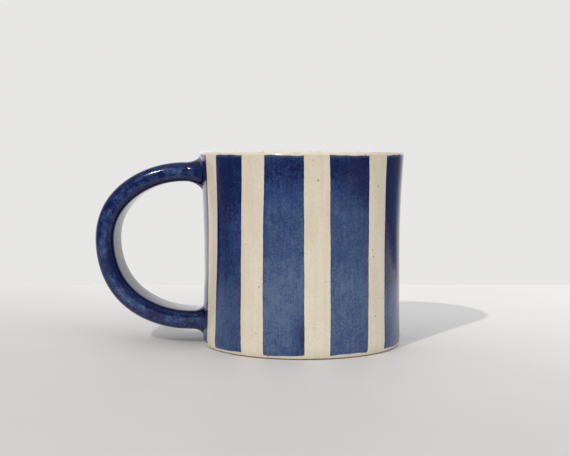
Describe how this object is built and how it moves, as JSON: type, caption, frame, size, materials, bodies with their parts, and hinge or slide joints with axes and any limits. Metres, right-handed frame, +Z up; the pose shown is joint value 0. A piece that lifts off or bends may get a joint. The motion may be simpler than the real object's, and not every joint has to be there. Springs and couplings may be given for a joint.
{
  "type": "ceramic mug",
  "caption": "Hand-made cylindrical mug with a waisted body, vertical painted stripes and a D-shaped strap handle.",
  "frame": {"origin": "middle of the flat underside, where the mug rests on the table", "axes": "+Z up along the body's axis, the handle stands out along -X"},
  "size_m": [0.139, 0.0922, 0.0864],
  "materials": {
    "cream_glaze": "glossy clear glaze over a cream stoneware body with small iron specks",
    "blue_slip": "brushed cobalt blue slip under a glossy clear glaze",
    "bare_clay": "unglazed fired clay, matt and slightly sandy"
  },
  "bodies": {
    "root": {"body_wall": "cream_glaze", "base_slab": "bare_clay", "floor_coil": "cream_glaze", "handle_strap": "blue_slip", "upper_joint_collar": "blue_slip", "lower_joint_collar": "blue_slip", "stripe_1": "blue_slip", "stripe_2": "blue_slip", "stripe_3": "blue_slip", "stripe_4": "blue_slip", "stripe_5": "blue_slip", "stripe_6": "blue_slip", "stripe_7": "blue_slip", "stripe_8": "blue_slip", "stripe_9": "blue_slip"}
  },
  "joints": []
}
